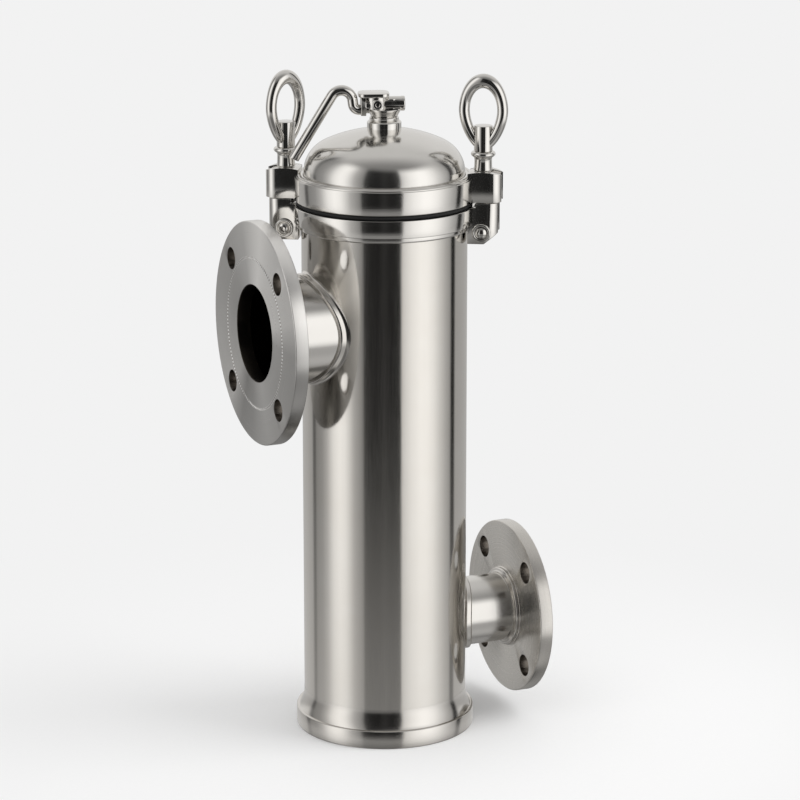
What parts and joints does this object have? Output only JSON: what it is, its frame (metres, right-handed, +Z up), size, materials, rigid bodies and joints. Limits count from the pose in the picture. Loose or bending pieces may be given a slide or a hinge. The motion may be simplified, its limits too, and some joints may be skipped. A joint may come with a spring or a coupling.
{
  "type": "bag filter housing",
  "caption": "Tall round bag filter housing with flanged side inlet and outlet, a domed swing-bolt lid and a vent cock.",
  "frame": {"origin": "centre of the base plate's underside, on the shell's axis", "axes": "+Z up along the shell, -X towards the inlet, +X towards the outlet"},
  "size_m": [0.246, 0.1905, 0.5766],
  "materials": {
    "satin_shell": "satin, brushed lengthwise",
    "brushed_ring": "fine turned brushing",
    "turned_flange": "turned, matt",
    "brushed_pipe": "satin",
    "polished_steel": "polished",
    "plain_steel": "pickled",
    "black_rubber": "matt",
    "white_felt": "needled felt"
  },
  "bodies": {
    "housing": {"base_plate": "brushed_ring", "shell_tube": "satin_shell", "body_flange": "brushed_ring", "lid_gasket": "black_rubber", "inlet_nozzle": "brushed_pipe", "inlet_flange": "turned_flange", "inlet_hub_collar": "brushed_pipe", "outlet_nozzle": "brushed_pipe", "outlet_flange": "turned_flange", "outlet_hub_collar": "brushed_pipe", "basket_seat_ring": "plain_steel", "basket_rim": "plain_steel", "strainer_basket": "plain_steel", "bag_snap_ring": "plain_steel", "filter_bag": "white_felt", "right_hinge_bracket": "polished_steel", "right_pivot_pin": "polished_steel", "right_pin_clip": "polished_steel", "left_hinge_bracket": "polished_steel", "left_pivot_pin": "polished_steel", "left_pin_clip": "polished_steel"},
    "lid": {"lid_ring": "brushed_ring", "lid_dome": "polished_steel", "lid_weld_bead": "polished_steel", "right_lid_lug": "polished_steel", "left_lid_lug": "polished_steel", "vent_boss": "polished_steel", "vent_neck": "polished_steel"},
    "vent_cock": {"vent_head": "polished_steel", "vent_cap": "polished_steel", "vent_gland": "polished_steel", "vent_handle": "polished_steel"},
    "bleed_screw": {"bleed_screw": "polished_steel"},
    "basket_bail": {"basket_bail": "plain_steel"},
    "right_bolt": {"right_swing_bolt": "polished_steel"},
    "left_bolt": {"left_swing_bolt": "polished_steel"},
    "right_collar": {"right_nut_collar": "polished_steel"},
    "left_collar": {"left_nut_collar": "polished_steel"},
    "right_nut": {"right_eye_nut": "polished_steel"},
    "left_nut": {"left_eye_nut": "polished_steel"}
  },
  "joints": [
    {"name": "lid_lift", "type": "slide", "parent": "housing", "child": "lid", "axis": [0, 0, 1], "range_m": [0, 0.014]},
    {"name": "right_bolt_swing", "type": "hinge", "parent": "housing", "child": "right_bolt", "pos_m": [0.07275, -0.042, 0.443], "axis": [0.5, 0.866, 0], "range_deg": [0, 90]},
    {"name": "right_nut_rise", "type": "slide", "parent": "right_bolt", "child": "right_collar", "axis": [0, 0, 1], "range_m": [0, 0.0141]},
    {"name": "right_nut_turn", "type": "hinge", "parent": "right_collar", "child": "right_nut", "pos_m": [0.07275, -0.042, 0.5108], "axis": [0, 0, 1], "range_deg": [0, 2885]},
    {"name": "left_bolt_swing", "type": "hinge", "parent": "housing", "child": "left_bolt", "pos_m": [-0.07275, 0.042, 0.443], "axis": [-0.5, -0.866, 0], "range_deg": [0, 90]},
    {"name": "left_nut_rise", "type": "slide", "parent": "left_bolt", "child": "left_collar", "axis": [0, 0, 1], "range_m": [0, 0.0141]},
    {"name": "left_nut_turn", "type": "hinge", "parent": "left_collar", "child": "left_nut", "pos_m": [-0.07275, 0.042, 0.5108], "axis": [0, 0, 1], "range_deg": [0, 2885]},
    {"name": "vent_handle_turn", "type": "hinge", "parent": "lid", "child": "vent_cock", "pos_m": [0, 0, 0.5389], "axis": [0, 0, 1], "range_deg": [0, 90]},
    {"name": "bleed_screw_turn", "type": "hinge", "parent": "vent_cock", "child": "bleed_screw", "pos_m": [-0.00618, 0.00201, 0.5503], "axis": [-0.309, -0.9511, 0], "range_deg": [0, 360]},
    {"name": "basket_bail_lift", "type": "hinge", "parent": "housing", "child": "basket_bail", "pos_m": [0, 0, 0.3162], "axis": [0, -1, 0], "range_deg": [0, 90]}
  ],
  "couplings": [
    {"joint": "right_nut_rise", "follows": "lid_lift", "ratio": 1},
    {"joint": "left_nut_rise", "follows": "lid_lift", "ratio": 1},
    {"joint": "right_nut_turn", "follows": "lid_lift", "rad_per_m": 3590.4},
    {"joint": "left_nut_turn", "follows": "lid_lift", "rad_per_m": 3590.4}
  ]
}
